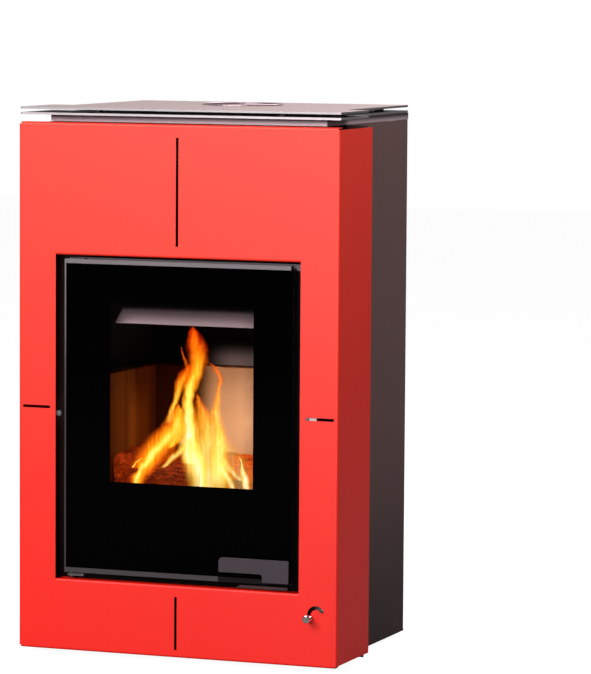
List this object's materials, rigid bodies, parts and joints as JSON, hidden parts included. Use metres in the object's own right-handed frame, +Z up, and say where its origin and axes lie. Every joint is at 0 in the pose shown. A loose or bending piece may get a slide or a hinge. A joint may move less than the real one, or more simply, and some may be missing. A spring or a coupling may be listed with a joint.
{
  "type": "wood stove",
  "caption": "Free-standing wood stove: folded sheet surround, glazed swinging door with lever handle, flue outlet on top and a motor-driven throttle flap in the rear air inlet",
  "frame": {"origin": "on the floor, under the middle of the bounding box, which runs from the air knob in front to the inlet collar's rim behind", "axes": "+X to the right seen from the front, +Y from the door to the back, +Z up"},
  "size_m": [0.63, 0.576, 1.0163],
  "materials": {
    "enamel_red": "satin red paint",
    "casing_paint": "fine-grained matte brown-grey paint",
    "rear_grey": "matte warm grey paint",
    "vent_black": "matte black paint",
    "satin_steel": "satin metallic grey",
    "zinc_steel": "zinc plated",
    "black_steel": "heat-resistant black, sooty inside",
    "black_paint": "satin black",
    "black_glass": "clear in the window, printed black round it",
    "black_rubber": "matte black",
    "trim_grey": "satin grey",
    "handle_grey": "satin dark grey",
    "firebrick": "matte beige refractory",
    "dark_brick": "matte dark refractory",
    "cast_iron": "as cast, dark",
    "seal_rope": "braided dark grey fibre rope",
    "polished_steel": "polished",
    "burnt_steel": "darkened by heat",
    "bracket_steel": "plain sheet steel",
    "horn_brown": "matte dark brown",
    "servo_black": "fine-textured black"
  },
  "bodies": {
    "stove": {"front_surround": "enamel_red", "surround_clip_left": "zinc_steel", "surround_clip_right": "zinc_steel", "casing_side_left": "casing_paint", "casing_side_right": "casing_paint", "rear_panel": "rear_grey", "rear_vent_frame": "vent_black", "service_panel": "rear_grey", "base_plate": "casing_paint", "support_plinth": "black_steel", "levelling_foot_front_left": "black_rubber", "levelling_foot_front_right": "black_rubber", "levelling_foot_rear_left": "black_rubber", "levelling_foot_rear_right": "black_rubber", "top_cover": "satin_steel", "top_plate_lower": "satin_steel", "top_plate_upper": "satin_steel", "flue_collar": "satin_steel", "firebox_shell": "black_steel", "firebox_front": "black_steel", "frame_top_rail": "trim_grey", "hearth_plate": "cast_iron", "fire_grate": "cast_iron", "firebrick_left_front": "firebrick", "firebrick_left_rear": "firebrick", "firebrick_right_front": "firebrick", "firebrick_right_rear": "firebrick", "firebrick_back": "firebrick", "baffle_plate": "dark_brick", "air_wash_plate": "trim_grey", "hinge_lug_upper": "zinc_steel", "hinge_lug_lower": "zinc_steel", "hinge_pin_upper": "zinc_steel", "hinge_pin_lower": "zinc_steel", "latch_keeper": "zinc_steel", "air_valve_plate": "zinc_steel", "air_duct": "zinc_steel", "air_box": "zinc_steel", "air_collar": "black_paint", "servo_bracket": "bracket_steel", "servo_body": "servo_black", "panel_nut_left": "zinc_steel", "panel_nut_right": "zinc_steel", "servo_lead": "black_rubber", "lead_gland": "black_rubber"},
    "door": {"door_frame": "black_paint", "door_glass": "black_glass", "glass_gasket": "seal_rope", "glass_retainer": "trim_grey", "door_seal": "seal_rope"},
    "handle": {"door_handle": "handle_grey", "latch_spindle": "black_steel"},
    "air_control": {"air_control_knob": "polished_steel", "air_control_crank": "zinc_steel", "air_shutter": "zinc_steel"},
    "throttle": {"throttle_flap": "burnt_steel", "flap_shaft": "burnt_steel", "servo_horn": "horn_brown"},
    "ash_pan": {"ash_pan": "zinc_steel"}
  },
  "joints": [
    {"name": "door_hinge", "type": "hinge", "parent": "stove", "child": "door", "pos_m": [-0.213, -0.254, 0.156], "axis": [0, 0, -1], "range_deg": [0, 110]},
    {"name": "handle_pivot", "type": "hinge", "parent": "door", "child": "handle", "pos_m": [0.208, -0.268, 0.182], "axis": [0, 1, 0], "range_deg": [0, 35]},
    {"name": "air_control_turn", "type": "hinge", "parent": "stove", "child": "air_control", "pos_m": [0.2747, -0.268, 0.1055], "axis": [0, 1, 0], "range_deg": [0, 173]},
    {"name": "throttle_turn", "type": "hinge", "parent": "stove", "child": "throttle", "pos_m": [0, 0.237, 0.205], "axis": [-1, 0, 0], "range_deg": [0, 90]},
    {"name": "ash_pan_slide", "type": "slide", "parent": "stove", "child": "ash_pan", "axis": [0, -1, 0], "range_m": [0, 0.2]}
  ],
  "couplings": [
    {"joint": "ash_pan_slide", "follows": "door_hinge", "m_per_rad": 0.104}
  ]
}
